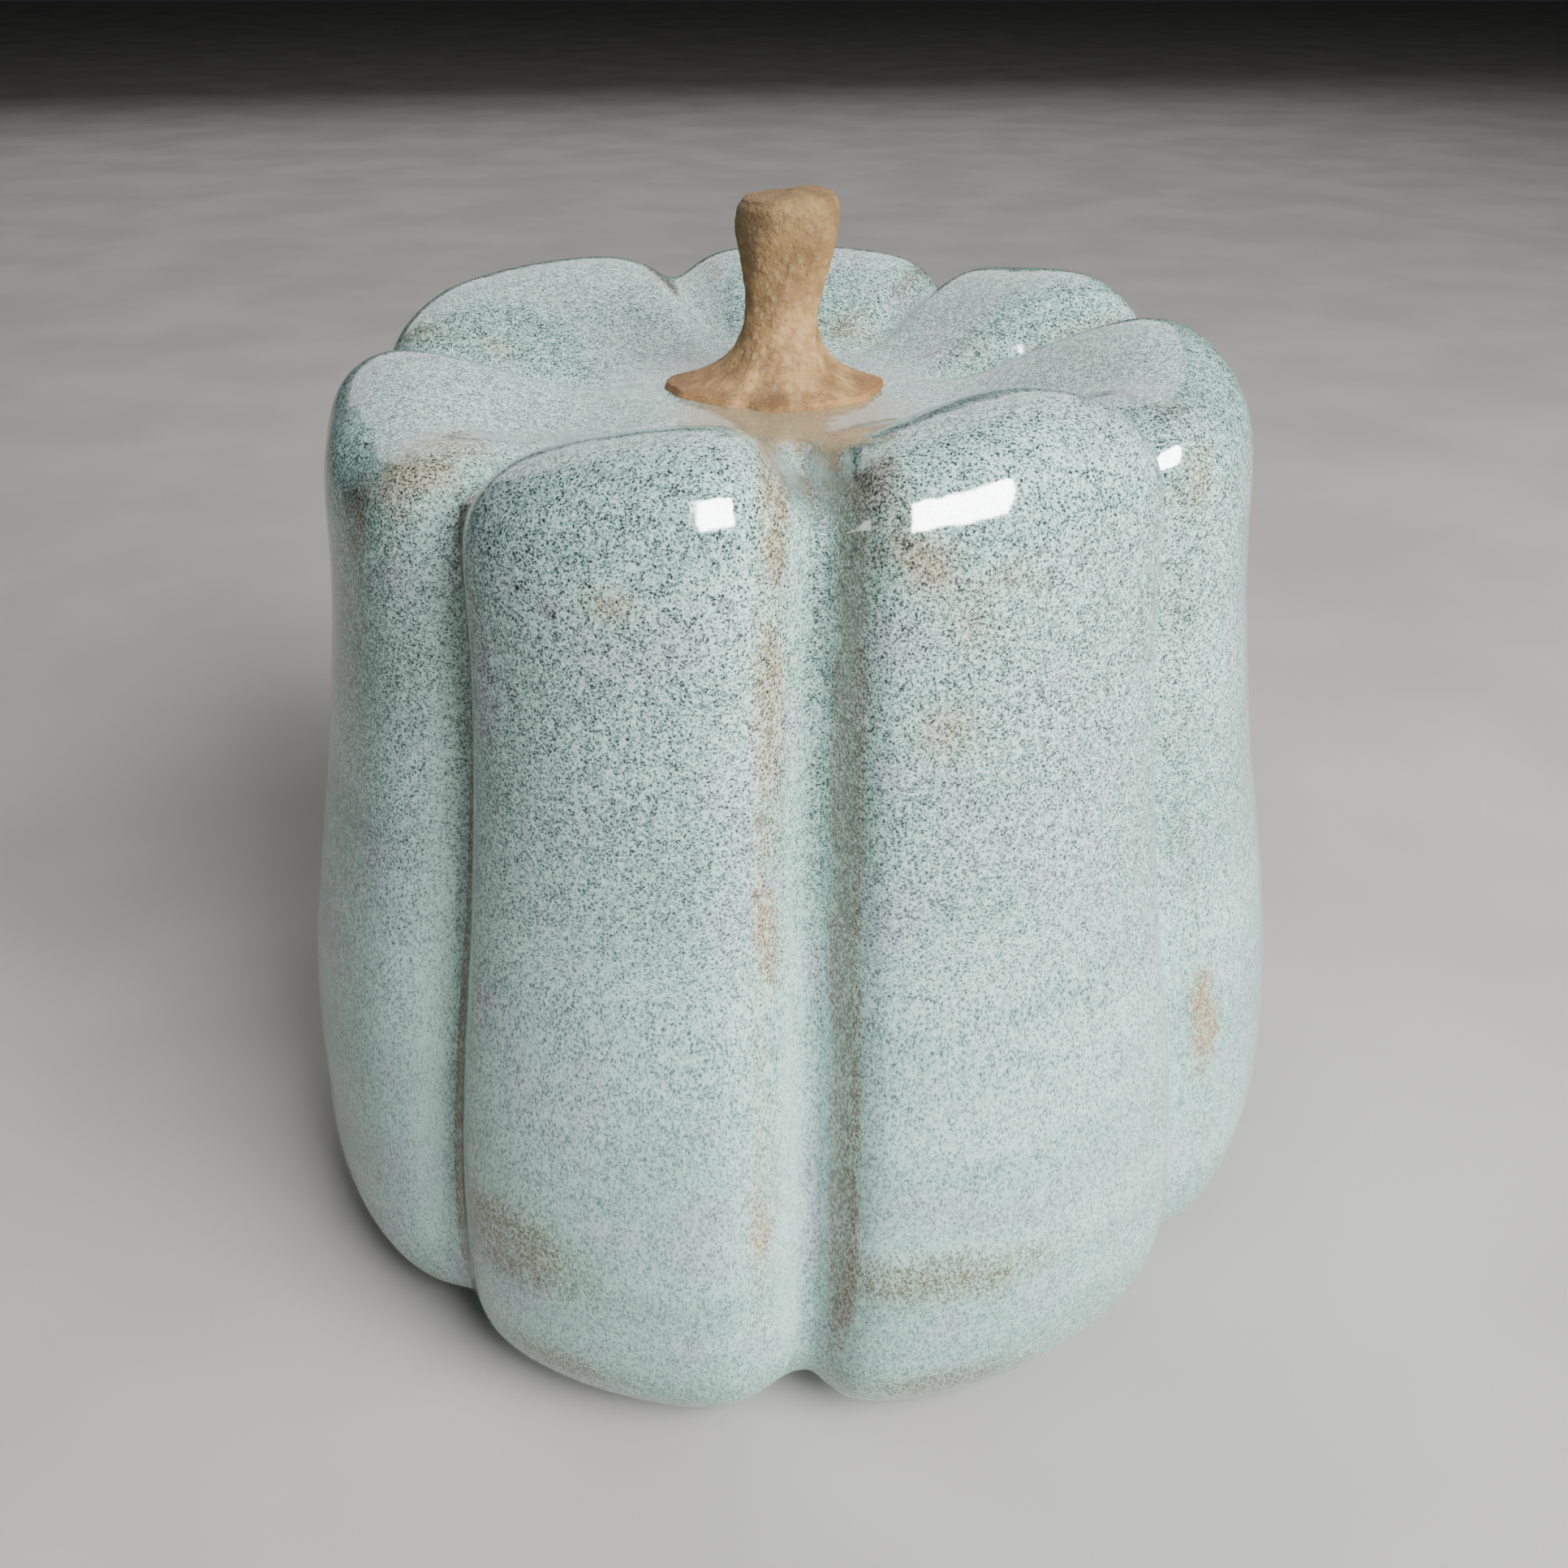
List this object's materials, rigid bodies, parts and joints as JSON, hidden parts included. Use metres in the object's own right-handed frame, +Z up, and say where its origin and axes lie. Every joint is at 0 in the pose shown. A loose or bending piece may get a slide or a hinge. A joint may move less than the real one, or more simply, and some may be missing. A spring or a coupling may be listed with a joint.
{
  "type": "ceramic pumpkin ornament",
  "caption": "Hollow glazed stoneware pumpkin, thrown and pressed into lobes, with a sunken top, a bare clay stem and a flat vented foot.",
  "frame": {"origin": "middle of the flat foot, at the bottom, under the middle of the part's bounding box", "axes": "+Z up along the throwing axis, -Y towards the front, +X to the right as seen from the front"},
  "size_m": [0.1231, 0.1235, 0.1247],
  "materials": {
    "glaze": "glossy speckled celadon stoneware glaze, breaking tan over the edges of the grooves",
    "bare_clay": "unglazed grogged buff stoneware, rough"
  },
  "bodies": {
    "root": {"pumpkin_body": "glaze", "stem": "bare_clay"}
  },
  "joints": []
}
